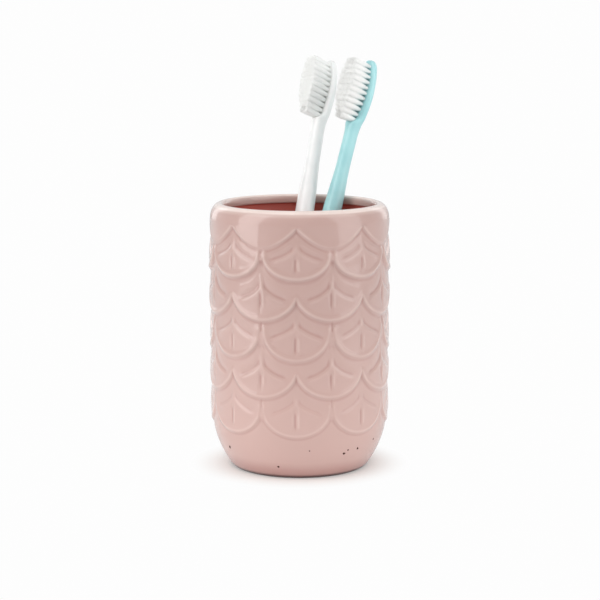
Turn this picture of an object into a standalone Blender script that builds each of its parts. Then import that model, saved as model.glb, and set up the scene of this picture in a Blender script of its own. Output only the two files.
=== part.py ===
"""A glazed ceramic toothbrush tumbler with an overlapping scale relief, and the two
toothbrushes that stand in it and lift out. Metres, +Z up, origin under the tumbler."""

import math

import bmesh
import bpy
from mathutils import Matrix, Vector

# The tumbler's overall form
RIM_HEIGHT = 0.112
WALL_OUTER_RADIUS = 0.0373
WALL_THICKNESS = 0.0038
SHOULDER_HEIGHT = 0.0065
LIP_CREST_INSET = 0.0044
LIP_INNER_INSET = 0.0058
LIP_DEPTH = 0.0027
LIP_ROUND_SHARE = 0.6
LEDGE_ROUND = 0.0002
LEDGE_DROP = 0.0009
FLOOR_THICKNESS = 0.008
FLOOR_FILLET = 0.006
FOOT_INSET = 0.0086
FOOT_EDGE = 0.0009
TAPER_HEIGHT = 0.026
TAPER_POWER = 2.2
INNER_TAPER = 0.0019
INNER_TAPER_HEIGHT = 0.020

# The scale relief; widths are shares of half a scale's arc, heights shares of the row pitch
SCALES_AROUND = 8
SCALE_ROWS = 5
RELIEF_TURN = -2.0
LOWEST_TIP = 0.0192
SHOULDER_GAP = 1.344
COLLAR_GAP = 0.81
COLLAR_FORM = {"width": 1.5, "round": 1.90, "join": 0.50}
OPEN_FORM = {"width": 0.959, "round": 0.720, "join": 2.5, "apex": 0.960, "arm_drop": 0.526, "arm_run": 0.580}
JOINED_FORM = {"width": 1.090, "round": 0.910, "join": 0.680, "apex": 0.985, "arm_drop": 0.464, "arm_run": 0.341}
EDGE_LIMIT = 0.977
ARM_FADE = (0.61, 0.83)
STEM_SPAN = (0.21, 0.63)
SCALE_LIFT = 0.00088
LIFT_FALL = 0.87
SINK_LENGTH = 1.145
SCALE_PUFF = 2.4
COLLAR_RISE = 0.00040
BEAD_RISE = 0.00040
BEAD_PLACE = 0.0008
BEAD_WIDTH = 0.0008
STEP_OUT = 0.0011
STEP_IN = 0.0003
TRENCH_DEPTH = 0.00010
TRENCH_PLACE = 0.0017
TRENCH_WIDTH = 0.0009
ARM_DEPTH = 0.0005
ARM_WIDTH = 0.0010
STEM_DEPTH = 0.00045
STEM_WIDTH = 0.0010
BORDER_WIDTH = 0.0027
ROW_ROOM = 0.0065
GROOVE_LOW = 0.30
GROOVE_HIGH = 0.80
GROOVE_HALF = 0.18
BAND_TOP = 0.0138

# A brush handle, along its own axis from the butt
WHITE_LENGTH = 0.1803
AQUA_LENGTH = 0.1708
BUTT_RADIUS = 0.0045
GRIP_WIDTH = 0.0112
GRIP_THICKNESS = 0.0088
LEAN_WIDTH = 0.0082
LEAN_THICKNESS = 0.0078
NECK_WIDTH = 0.0058
NECK_THICKNESS = 0.0060
GRIP_CENTRE = 0.055
LEAN_FROM_NOSE = 0.0703
SHANK_POWER = 0.93

# Its head, measured from the nose
HEAD_WIDTH = 0.0116
HEAD_THICKNESS = 0.0036
HEAD_BACK = 0.0031
HEAD_WIDEST = 0.0160
HEAD_FOOT = 0.0345
HEAD_POWER = 0.6
NOSE_POWER = 0.45
NOSE_ROUND = 0.0035
NOSE_EDGE = 0.30
NECK_START = 0.046
FACE_LENGTH = 0.0290
FACE_STEP = 0.0008

# The bristles
TUFT_PITCH = 0.00242
FIRST_TUFT = 0.0030
ROW_TUFTS = (3, 3, 4, 4, 4, 4, 4, 3, 3, 2, 2)
ROW_SPREAD = (0.0018, 0.0023, 0.0030, 0.0032, 0.0032, 0.0032, 0.0030, 0.0025, 0.0020, 0.0013, 0.0009)
ROW_REACH = (0.963, 0.984, 0.995, 1.0, 1.0, 1.0, 1.0, 0.995, 0.984, 0.958, 0.905)
STRAND_RADIUS = 0.00033
STRAND_OFFSET = 0.00052
BRISTLE_REACH = 0.0102
BACKING_THICKNESS = 0.0010
BACKING_INSET = 0.0004
BACKING_START = 0.0010
BACKING_END = 0.0284
TUFT_PATTERN = ((0, 0), (-1, -1), (-1, 1), (1, -1), (1, 1))

# How the brushes stand; a butt's place is given as shares of the floor's inside radius
CLEARANCE = 0.0003
WHITE_BUTT = (-0.4266, -0.6329)
WHITE_RIM_ANGLE = 83.6
WHITE_FACE_ANGLE = 222.0
AQUA_BUTT = (-0.3066, 0.0316)
AQUA_RIM_ANGLE = 56.2
AQUA_FACE_ANGLE = 221.0
LEAN_DEPTH_SHARE = 0.7

# How finely the round forms are faceted
SIDES_PER_HALF_SCALE = 5
STEM_COLUMN = 0.1
HANDLE_SIDES = 16
INNER_STEPS = 5
BUTT_STEPS = 4
SHANK_STEPS = 13


def make_material(name, colour, roughness):
    """A plain glossy finish in the piece's own colour."""
    material = bpy.data.materials.new(name)
    material.use_nodes = True
    shader = material.node_tree.nodes["Principled BSDF"]
    shader.inputs["Base Color"].default_value = (*colour, 1.0)
    shader.inputs["Roughness"].default_value = roughness
    shader.inputs["Metallic"].default_value = 0.0
    return material


def finish_object(name, mesh_builder, material, parent=None):
    """Turn a bmesh into a named, smooth-shaded object with outward faces."""
    bmesh.ops.recalc_face_normals(mesh_builder, faces=mesh_builder.faces[:])
    mesh = bpy.data.meshes.new(name)
    mesh_builder.to_mesh(mesh)
    mesh_builder.free()
    mesh.materials.append(material)
    mesh.shade_smooth()
    mesh.set_sharp_from_angle(angle=math.radians(40))
    piece = bpy.data.objects.new(name, mesh)
    bpy.context.collection.objects.link(piece)
    piece.parent = parent
    return piece


def blend(start, end, share):
    """A smooth step from one value to another."""
    share = min(1.0, max(0.0, share))
    return start + (end - start) * share * share * (3.0 - 2.0 * share)


def bump(distance, width):
    """One at no distance, falling off smoothly within a width."""
    return math.exp(-(distance / width) ** 2)


def half_pitch():
    """Half the angle of one scale, in degrees."""
    return 180.0 / SCALES_AROUND


def half_arc():
    """Half a scale's width, measured round the wall."""
    return math.pi * WALL_OUTER_RADIUS / SCALES_AROUND


def row_pitch():
    """Height from one row's tips to the next row's."""
    return (RIM_HEIGHT - SHOULDER_HEIGHT - LOWEST_TIP) / (SCALE_ROWS - 1 + SHOULDER_GAP)


def row_form(row):
    """Outline of a row: the collar, scales with open sides, or scales that join."""
    if row == 0:
        return COLLAR_FORM
    return OPEN_FORM if row % 2 else JOINED_FORM


def tip_height(row):
    """Height of a row's tips; row 0 is the collar's scalloped edge."""
    rows_up = SCALE_ROWS - row if row else SCALE_ROWS - 1 + COLLAR_GAP
    return LOWEST_TIP + rows_up * row_pitch()


def across_scale(angle, row):
    """Arc length from the middle of the nearest scale; even rows sit half a scale round."""
    shift = RELIEF_TURN + (0.0 if row % 2 else half_pitch())
    turn = (angle - shift + half_pitch()) % (2.0 * half_pitch()) - half_pitch()
    return turn / half_pitch() * half_arc()


def inside_distance(across, up, form):
    """How far inside a scale's outline, which is rounded below and straight above."""
    wide = form["width"] * half_arc()
    tall = form["round"] * row_pitch()
    level = min(up - tall, 0.0)
    reach = math.hypot(across / wide, level / tall)
    slope = math.hypot(across / wide ** 2, level / tall ** 2)
    distance = (1.0 - reach) * reach / slope if slope else wide
    return max(distance, up - form["join"] * row_pitch())


def arm_height(across, form):
    """Height above the tip of the inverted V, whose arms flatten outwards."""
    run = form["arm_run"] * half_arc()
    drop = form["arm_drop"] * (1.0 - math.exp(-abs(across) / run))
    return (form["apex"] - drop) * row_pitch()


def scale_top(across, up, inside, row):
    """Rise of a scale's own surface: full below, it sinks upwards, with a bead, a V and a stem."""
    bead = BEAD_RISE * bump(inside - BEAD_PLACE, BEAD_WIDTH)
    if row == 0:
        return COLLAR_RISE + 0.5 * bead
    pitch = row_pitch()
    side = abs(across) / half_arc()
    below = arm_height(across, row_form(row)) - up
    start, end = ARM_FADE
    arms = ARM_DEPTH * bump(below, ARM_WIDTH) * blend(1.0, 0.0, (side - start) / (end - start))
    low, high = STEM_SPAN
    on_stem = low * pitch <= up <= high * pitch
    stem = STEM_DEPTH * bump(across, STEM_WIDTH) if on_stem else 0.0
    sink = 1.0 - (max(up, 0.0) / (SINK_LENGTH * pitch)) ** SCALE_PUFF
    return SCALE_LIFT * LIFT_FALL ** (row - 1) * sink + bead - arms - stem


def relief_height(angle, height):
    """Rise of the relief over the plain wall, row over row from the bottom up."""
    rise = 0.0
    for row in range(SCALE_ROWS, -1, -1):
        across = across_scale(angle, row)
        up = height - tip_height(row)
        inside = inside_distance(across, up, row_form(row))
        trench = TRENCH_DEPTH * bump(inside + TRENCH_PLACE, TRENCH_WIDTH)
        cover = blend(0.0, 1.0, (inside + STEP_OUT) / (STEP_OUT + STEP_IN))
        rise = (rise - trench) * (1.0 - cover) + scale_top(across, up, inside, row) * cover
    return rise


def edge_height(angle, row):
    """Height of the smooth line that the mesh follows along a row's lower edge."""
    form = row_form(row)
    share = min(abs(across_scale(angle, row)) / (form["width"] * half_arc()), EDGE_LIMIT)
    return tip_height(row) + form["round"] * row_pitch() * (1.0 - math.sqrt(1.0 - share ** 2))


def wall_radius(height):
    """Outside radius under the relief: a straight wall that curves in to the foot."""
    share = max(0.0, 1.0 - height / TAPER_HEIGHT)
    return WALL_OUTER_RADIUS - FOOT_INSET * share ** TAPER_POWER


def shoulder_points():
    """The rounded shoulder from the lip's crest down to the collar."""
    points = []
    crest = WALL_OUTER_RADIUS - LIP_CREST_INSET
    for degrees in (90.0, 66.0, 45.0, 25.0, 8.0):
        turn = math.radians(degrees)
        radius = crest + (LIP_CREST_INSET + COLLAR_RISE) * math.cos(turn)
        points.append((radius, RIM_HEIGHT - SHOULDER_HEIGHT * (1.0 - math.sin(turn))))
    return points


def row_heights(angle, row):
    """Heights of one row's mesh lines, from under the row above to inside its own edge."""
    edge = edge_height(angle, row)
    above = edge_height(angle, row - 1)
    tight = min(1.0, (above - edge) / ROW_ROOM)
    trench = above - TRENCH_PLACE * tight
    border = edge + BORDER_WIDTH * tight
    spare = trench - border
    groove = tip_height(row) + arm_height(across_scale(angle, row), row_form(row))
    groove = min(max(groove, border + GROOVE_LOW * spare), border + GROOVE_HIGH * spare)
    half = min(ARM_WIDTH, GROOVE_HALF * spare)
    stem_low, stem_high = (share * row_pitch() for share in STEM_SPAN)
    stem = (stem_high - BORDER_WIDTH) / (row_form(row)["apex"] * row_pitch() - BORDER_WIDTH)
    return [
        above - STEP_OUT * tight,
        trench,
        groove + half,
        groove,
        groove - half,
        border + (groove - half - border) * stem,
        max(border, edge + stem_low * tight),
        edge + BEAD_PLACE * tight,
        edge + STEP_IN * tight,
    ]


def outer_points(angle):
    """The outside section at one angle, from the crest of the lip to the foot."""
    points = shoulder_points()
    collar = edge_height(angle, 0)
    heights = [collar + BEAD_PLACE, collar + STEP_IN]
    for row in range(1, SCALE_ROWS + 1):
        heights.extend(row_heights(angle, row))
    lowest = edge_height(angle, SCALE_ROWS)
    heights.extend([lowest - STEP_OUT, lowest - TRENCH_PLACE])
    for share in (0.5, 0.15):
        heights.append(BAND_TOP + share * (lowest - TRENCH_PLACE - BAND_TOP))
    for share in (0.85, 0.6, 0.35, 0.18):
        heights.append(share * BAND_TOP)
    points += [(wall_radius(height) + relief_height(angle, height), height) for height in heights]
    for degrees in (0.0, 45.0, 90.0):
        turn = math.radians(degrees)
        height = FOOT_EDGE * (1.0 - math.sin(turn))
        points.append((wall_radius(0.0) - FOOT_EDGE * (1.0 - math.cos(turn)), height))
    return points


def floor_radius():
    """Inside radius of the wall where it meets the floor's fillet."""
    return WALL_OUTER_RADIUS - WALL_THICKNESS - INNER_TAPER


def inner_points():
    """The inside section, from just inside the crest down to the floor's edge."""
    crest = WALL_OUTER_RADIUS - LIP_CREST_INSET
    lip = WALL_OUTER_RADIUS - LIP_INNER_INSET
    lip_drop = LIP_ROUND_SHARE * LIP_DEPTH
    points = []
    for degrees in (60.0, 30.0, 0.0):
        turn = math.radians(degrees)
        radius = crest - (crest - lip) * math.cos(turn)
        points.append((radius, RIM_HEIGHT - lip_drop * (1.0 - math.sin(turn))))
    ledge = RIM_HEIGHT - LIP_DEPTH
    inner = WALL_OUTER_RADIUS - WALL_THICKNESS
    points.append((lip + LEDGE_ROUND, ledge))
    points.append((inner, ledge - LEDGE_DROP))
    fillet_top = FLOOR_THICKNESS + FLOOR_FILLET
    points.append((inner, fillet_top + INNER_TAPER_HEIGHT))
    for step in range(INNER_STEPS + 1):
        turn = 0.5 * math.pi * step / INNER_STEPS
        radius = floor_radius() - FLOOR_FILLET * (1.0 - math.cos(turn))
        points.append((radius, fillet_top - FLOOR_FILLET * math.sin(turn)))
    return points


def column_angles():
    """Angles of the mesh's columns, closer together beside each scale's middle line."""
    half = half_pitch()
    narrow = STEM_COLUMN * half
    inner = [narrow + (half - 2.0 * narrow) * index / (SIDES_PER_HALF_SCALE - 2)
             for index in range(SIDES_PER_HALF_SCALE - 1)]
    one_side = [0.0] + inner
    return [RELIEF_TURN + index * half + offset
            for index in range(2 * SCALES_AROUND) for offset in one_side]


def ring_of(mesh_builder, radius, height, angles):
    """A ring of vertices at one radius and height."""
    ring = []
    for angle in angles:
        turn = math.radians(angle)
        place = (radius * math.cos(turn), radius * math.sin(turn), height)
        ring.append(mesh_builder.verts.new(place))
    return ring


def bridge(mesh_builder, upper, lower):
    """Join two rings of as many vertices with a band of quads."""
    count = len(upper)
    for index in range(count):
        after = (index + 1) % count
        mesh_builder.faces.new((upper[index], upper[after], lower[after], lower[index]))


def make_tumbler():
    """The slip-cast tumbler: one closed body with lip, relief, floor and flat foot."""
    builder = bmesh.new()
    angles = column_angles()
    columns = []
    for angle in angles:
        turn = math.radians(angle)
        column = [builder.verts.new((radius * math.cos(turn), radius * math.sin(turn), height))
                  for radius, height in outer_points(angle)]
        columns.append(column)
    outside = [list(ring) for ring in zip(*columns)]
    for upper, lower in zip(outside, outside[1:]):
        bridge(builder, upper, lower)
    builder.faces.new(outside[-1])

    inside = [ring_of(builder, radius, height, angles) for radius, height in inner_points()]
    bridge(builder, inside[0], outside[0])
    for upper, lower in zip(inside, inside[1:]):
        bridge(builder, upper, lower)
    builder.faces.new(inside[-1])
    bmesh.ops.triangulate(builder, faces=builder.faces[:], quad_method="SHORT_EDGE")
    glaze = make_material("pink_glaze", (0.60, 0.40, 0.36), 0.12)
    return finish_object("tumbler_body", builder, glaze)


def handle_size(along, length):
    """Half width and half thickness of the shank at a distance from the butt."""
    stations = [
        (BUTT_RADIUS, 2.0 * BUTT_RADIUS, 2.0 * BUTT_RADIUS),
        (GRIP_CENTRE, GRIP_WIDTH, GRIP_THICKNESS),
        (length - LEAN_FROM_NOSE, LEAN_WIDTH, LEAN_THICKNESS),
        (length - NECK_START, NECK_WIDTH, NECK_THICKNESS),
    ]
    for (low, width_a, thick_a), (high, width_b, thick_b) in zip(stations, stations[1:]):
        if along <= high:
            share = (along - low) / (high - low)
            return 0.5 * blend(width_a, width_b, share), 0.5 * blend(thick_a, thick_b, share)
    return 0.5 * NECK_WIDTH, 0.5 * NECK_THICKNESS


def shank_sections(length):
    """Sections of the shank: distance along, half width, half depth, mid line, power."""
    sections = []
    for step in range(1, BUTT_STEPS + 1):
        turn = 0.5 * math.pi * step / BUTT_STEPS
        along = BUTT_RADIUS * (1.0 - math.cos(turn))
        radius = BUTT_RADIUS * math.sin(turn)
        sections.append((along, radius, radius, 0.0, 1.0))
    run = length - NECK_START - BUTT_RADIUS
    for step in range(1, SHANK_STEPS + 1):
        along = BUTT_RADIUS + run * step / SHANK_STEPS
        sections.append((along, *handle_size(along, length), 0.0, SHANK_POWER))
    return sections


def head_half(from_nose):
    """Half width of the oval head, which runs down into the neck."""
    half = 0.5 * HEAD_WIDTH
    if from_nose < HEAD_WIDEST:
        return half * (1.0 - (1.0 - from_nose / HEAD_WIDEST) ** 2) ** NOSE_POWER
    return blend(half, 0.5 * NECK_WIDTH, (from_nose - HEAD_WIDEST) / (HEAD_FOOT - HEAD_WIDEST))


def head_sections(length):
    """Sections of the head, which is flat in front where the bristles' backing lies."""
    sections = []
    step_end = FACE_LENGTH + FACE_STEP
    stations = [HEAD_FOOT, 0.5 * (HEAD_FOOT + step_end), step_end, FACE_LENGTH]
    stations += [FACE_LENGTH * share for share in
                 (0.91, 0.8, 0.68, 0.55, 0.4, 0.26, 0.155, 0.086, 0.038, 0.01)]
    for from_nose in stations:
        flat = blend(0.0, 1.0, (step_end - from_nose) / FACE_STEP)
        depth = blend(0.5 * NECK_THICKNESS, 0.5 * HEAD_THICKNESS, flat)
        turn = 1.0 - min(1.0, from_nose / NOSE_ROUND)
        depth *= NOSE_EDGE + (1.0 - NOSE_EDGE) * math.sqrt(1.0 - turn ** 2)
        middle = (HEAD_BACK - 0.5 * HEAD_THICKNESS) * flat
        power = blend(SHANK_POWER, HEAD_POWER, flat)
        sections.append((length - from_nose, head_half(from_nose), depth, middle, power))
    return sections


def head_face():
    """How far in front of the handle's axis the head's flat face lies."""
    return HEAD_THICKNESS - HEAD_BACK


def make_handle(name, length, material, parent):
    """A moulded handle: round butt, full grip, slim neck and flat head, in one piece."""
    builder = bmesh.new()
    rings = []
    for along, half_width, half_depth, middle, power in shank_sections(length) + head_sections(length):
        ring = []
        for index in range(HANDLE_SIDES):
            turn = 2.0 * math.pi * (index + 0.5) / HANDLE_SIDES
            across = math.copysign(abs(math.cos(turn)) ** power, math.cos(turn))
            deep = math.copysign(abs(math.sin(turn)) ** power, math.sin(turn))
            ring.append(builder.verts.new((half_width * across, middle + half_depth * deep, along)))
        rings.append(ring)
    for lower, upper in zip(rings, rings[1:]):
        bridge(builder, upper, lower)
    butt = builder.verts.new((0.0, 0.0, 0.0))
    for index in range(HANDLE_SIDES):
        builder.faces.new((rings[0][index], rings[0][(index + 1) % HANDLE_SIDES], butt))
    builder.faces.new(rings[-1])
    bmesh.ops.triangulate(builder, faces=[face for face in builder.faces if len(face.verts) > 4])
    return finish_object(name, builder, material, parent)


def add_strand(builder, across, along, root, tip):
    """One three-sided bristle from inside the backing out to the trimmed face."""
    corners = []
    for depth in (root, tip):
        ring = []
        for side in range(3):
            turn = 2.0 * math.pi * side / 3.0
            place = (across + STRAND_RADIUS * math.cos(turn), depth,
                     along + STRAND_RADIUS * math.sin(turn))
            ring.append(builder.verts.new(place))
        corners.append(ring)
    bridge(builder, corners[0], corners[1])
    builder.faces.new(corners[0])
    builder.faces.new(corners[1])


def tuft_places(length):
    """Across, along and share of the full bristle length of each tuft."""
    for row, (count, spread, reach) in enumerate(zip(ROW_TUFTS, ROW_SPREAD, ROW_REACH)):
        along = length - FIRST_TUFT - row * TUFT_PITCH
        for column in range(count):
            yield spread * (2.0 * column / (count - 1) - 1.0), along, reach


def make_strands(name, length):
    """All of one head's bristles, five to a tuft, before they join their backing."""
    builder = bmesh.new()
    root = head_face() + CLEARANCE + 0.5 * BACKING_THICKNESS
    for across, along, reach in tuft_places(length):
        tip = head_face() + BRISTLE_REACH * reach
        for side, end in TUFT_PATTERN:
            add_strand(builder, across + side * STRAND_OFFSET, along + end * STRAND_OFFSET,
                       -root, -tip)
    bmesh.ops.recalc_face_normals(builder, faces=builder.faces[:])
    mesh = bpy.data.meshes.new(name)
    builder.to_mesh(mesh)
    builder.free()
    strands = bpy.data.objects.new(name, mesh)
    bpy.context.collection.objects.link(strands)
    strands.hide_render = True
    strands.display_type = "WIRE"
    return strands


def make_bristles(name, length, material, parent):
    """The bristles of one head, fused to the slice of the head that holds them."""
    builder = bmesh.new()
    near = -(head_face() + CLEARANCE)
    far = near - BACKING_THICKNESS
    run = BACKING_END - BACKING_START
    ends = []
    for depth in (near, far):
        left, right = [], []
        for share in (0.0, 0.03, 0.06, 0.11, 0.22, 0.36, 0.55, 0.7, 0.85, 0.93, 1.0):
            from_nose = BACKING_START + run * share
            half = head_half(from_nose) - BACKING_INSET
            left.append(builder.verts.new((-half, depth, length - from_nose)))
            right.append(builder.verts.new((half, depth, length - from_nose)))
        ends.append(left + right[::-1])
    bridge(builder, ends[0], ends[1])
    builder.faces.new(ends[0])
    builder.faces.new(ends[1])
    backing = finish_object(name, builder, material, parent)
    strands = make_strands(name + "_cutter", length)
    strands.parent = parent
    union = backing.modifiers.new("join", "BOOLEAN")
    union.operation = "UNION"
    union.object = strands
    return backing


def section_reach(direction, across, behind):
    """How far the leaning section of a handle reaches in a direction."""
    wide = 0.5 * LEAN_WIDTH * direction.dot(across)
    deep = 0.5 * LEAN_THICKNESS * direction.dot(behind)
    return math.hypot(wide, deep)


def brush_place(butt, rim_angle, face_angle):
    """Where a brush stands: its butt on the floor and its back against the lip."""
    start = Vector((butt[0] * floor_radius(), butt[1] * floor_radius(),
                    FLOOR_THICKNESS + CLEARANCE + BUTT_RADIUS))
    outward = Vector((math.cos(math.radians(rim_angle)), math.sin(math.radians(rim_angle)), 0.0))
    front = Vector((math.cos(math.radians(face_angle)), math.sin(math.radians(face_angle)), 0.0))
    rest_height = RIM_HEIGHT - LEAN_DEPTH_SHARE * LIP_DEPTH
    reach = 0.5 * LEAN_THICKNESS
    for _ in range(12):
        radius = WALL_OUTER_RADIUS - LIP_INNER_INSET - CLEARANCE - reach
        end = outward * radius
        end.z = rest_height
        axis = (end - start).normalized()
        behind = -(front - axis * front.dot(axis)).normalized()
        across = behind.cross(axis)
        square = (outward - axis * outward.dot(axis)).normalized()
        reach = section_reach(square, across, behind) / square.dot(outward)
    place = Matrix((across, behind, axis)).transposed().to_4x4()
    place.translation = start - axis * BUTT_RADIUS
    return place


def make_brush(prefix, length, place, colour):
    """One brush on an empty that carries its place in the tumbler."""
    carrier = bpy.data.objects.new(prefix, None)
    bpy.context.collection.objects.link(carrier)
    carrier.matrix_world = place
    plastic = make_material(prefix + "_plastic", colour, 0.25)
    filament = make_material(prefix + "_filament", (0.85, 0.85, 0.83), 0.5)
    make_handle(prefix + "_handle", length, plastic, carrier)
    make_bristles(prefix + "_bristles", length, filament, carrier)


for old in list(bpy.data.objects):
    bpy.data.objects.remove(old)
make_tumbler()
make_brush("white_brush", WHITE_LENGTH,
           brush_place(WHITE_BUTT, WHITE_RIM_ANGLE, WHITE_FACE_ANGLE), (0.80, 0.80, 0.79))
make_brush("aqua_brush", AQUA_LENGTH,
           brush_place(AQUA_BUTT, AQUA_RIM_ANGLE, AQUA_FACE_ANGLE), (0.45, 0.74, 0.74))
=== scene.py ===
import math

import bmesh
import bpy
import numpy as np
from mathutils import Matrix, Vector


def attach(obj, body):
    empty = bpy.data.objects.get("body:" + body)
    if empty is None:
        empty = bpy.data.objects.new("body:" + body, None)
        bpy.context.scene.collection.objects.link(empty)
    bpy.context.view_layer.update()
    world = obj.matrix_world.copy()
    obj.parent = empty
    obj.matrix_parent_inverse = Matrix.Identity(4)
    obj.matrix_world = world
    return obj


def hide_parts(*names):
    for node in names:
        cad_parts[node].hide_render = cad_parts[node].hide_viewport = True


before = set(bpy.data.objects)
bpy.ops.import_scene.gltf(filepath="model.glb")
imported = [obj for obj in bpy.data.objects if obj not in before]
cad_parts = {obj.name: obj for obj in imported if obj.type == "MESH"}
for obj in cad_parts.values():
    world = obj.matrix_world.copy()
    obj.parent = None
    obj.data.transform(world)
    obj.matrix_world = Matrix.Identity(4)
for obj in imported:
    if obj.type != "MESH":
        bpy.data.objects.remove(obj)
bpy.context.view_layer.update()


# small helpers for shapes, meshes and node trees

def smoothStep(low, high, value):  # 0 below low, 1 above high, for arrays
    share = np.clip((value - low) / (high - low), 0.0, 1.0)
    return share * share * (3.0 - 2.0 * share)


def ease(start, end, share):  # from start to end while share goes from 0 to 1
    share = min(1.0, max(0.0, share))
    return start + (end - start) * share * share * (3.0 - 2.0 * share)


def bell(distance, width):
    return np.exp(-(distance / width) ** 2)


def meshPiece(name, points, faces, material, body):
    mesh = bpy.data.meshes.new(name)
    mesh.from_pydata(points, [], faces)
    mesh.validate()
    shell = bmesh.new()
    shell.from_mesh(mesh)
    bmesh.ops.recalc_face_normals(shell, faces=shell.faces[:])
    shell.to_mesh(mesh)
    shell.free()
    mesh.shade_smooth()
    mesh.materials.append(material)
    piece = bpy.data.objects.new(name, mesh)
    bpy.context.scene.collection.objects.link(piece)
    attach(piece, body)
    return piece


def pointValues(piece, name, values):  # one number for each point, read by the material
    layer = piece.data.attributes.new(name, "FLOAT", "POINT")
    layer.data.foreach_set("value", np.asarray(values, dtype=np.float32).ravel())


def ringFaces(upper, lower, count):  # quads between two rings, by index
    return [(upper + i, upper + (i + 1) % count, lower + (i + 1) % count, lower + i) for i in range(count)]


def newMaterial(name, colour, roughness):
    material = bpy.data.materials.new(name)
    material.use_nodes = True
    shader = material.node_tree.nodes["Principled BSDF"]
    shader.inputs["Base Color"].default_value = (*colour, 1.0)
    shader.inputs["Roughness"].default_value = roughness
    return material, material.node_tree, shader


def addNode(tree, kind, settings=None, values=None):
    node = tree.nodes.new(kind)
    for key, value in (settings or {}).items():
        setattr(node, key, value)
    for key, value in (values or {}).items():
        node.inputs[key].default_value = value
    return node


def addRamp(tree, stops, factor):  # colour ramp with (place, colour) stops
    ramp = tree.nodes.new("ShaderNodeValToRGB")
    band = ramp.color_ramp
    while len(band.elements) < len(stops):
        band.elements.new(0.5)
    for element, (place, colour) in zip(band.elements, stops):
        element.position = place
        element.color = (*colour, 1.0)
    tree.links.new(factor, ramp.inputs["Fac"])
    return ramp.outputs["Color"]


def addNoise(tree, place, values):
    noise = addNode(tree, "ShaderNodeTexNoise", None, values)
    tree.links.new(place.outputs["Object"], noise.inputs["Vector"])
    return noise.outputs["Fac"]


def addMix(tree, below, above, factor):  # the colour above covers the one below by the factor
    mixed = addNode(tree, "ShaderNodeMix", {"data_type": "RGBA"})
    mixed.inputs["B"].default_value = (*above, 1.0)
    tree.links.new(factor, mixed.inputs["Factor"])
    tree.links.new(below, mixed.inputs["A"])
    return mixed.outputs["Result"]


def addPointValue(tree, name):
    return addNode(tree, "ShaderNodeAttribute", {"attribute_name": name}).outputs["Fac"]


def addBump(tree, shader, height, strength, distance):
    bump = addNode(tree, "ShaderNodeBump", None, {"Strength": strength, "Distance": distance})
    tree.links.new(height, bump.inputs["Height"])
    tree.links.new(bump.outputs["Normal"], shader.inputs["Normal"])


# the camera stands where the photograph was taken

view = {
    "distance": 0.776,
    "height": 0.1957,
    "aside": 0.0002,
    "lookDown": 9.179,   # degrees
    "lens": 111.26,      # mm, as the sensor
    "sensor": 36.0,
    "pixels": 600.0,     # width and height of the picture
}


def makeCamera():
    data = bpy.data.cameras.new("photoCamera")
    data.lens = view["lens"]
    data.sensor_width = view["sensor"]
    data.clip_start = 0.01
    camera = bpy.data.objects.new("photoCamera", data)
    camera.location = (view["aside"], -view["distance"], view["height"])
    camera.rotation_euler = (math.radians(90.0 - view["lookDown"]), 0.0, 0.0)
    bpy.context.scene.collection.objects.link(camera)
    bpy.context.scene.camera = camera


# the tumbler; all lengths are in metres

cup = {
    "rimHeight": 0.112,
    "wallRadius": 0.0373,
    "innerRadius": 0.0335,
    "shoulderDrop": 0.0065,
    "crestRadius": 0.0335,
    "lipRadius": 0.0321,
    "lipDrop": 0.0037,
    "lipRound": 0.6,        # the share of the drop that is rounded over
    # the ledge below the lip: out from the lip and up from the ledge's height
    "ledge": [(0.0, 0.0006), (0.00006, 0.0002), (0.0003, -0.00005), (0.0009, -0.0003)],
    "ledgeFoot": [(-0.0004, -0.0007), (0.0, -0.0014)],   # out from the inner wall, up
    "floorHeight": 0.008,
    "floorFillet": 0.006,
    "innerTaper": 0.0019,
    "taperLength": 0.020,   # the inner wall draws in over this length above the fillet
    "footRadius": 0.0287,
    "footEdge": 0.0009,
    "footFlare": 0.0002,
    "taperHeight": 0.026,   # the outer wall draws in below this
    "taperPower": 2.2,
}

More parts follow.
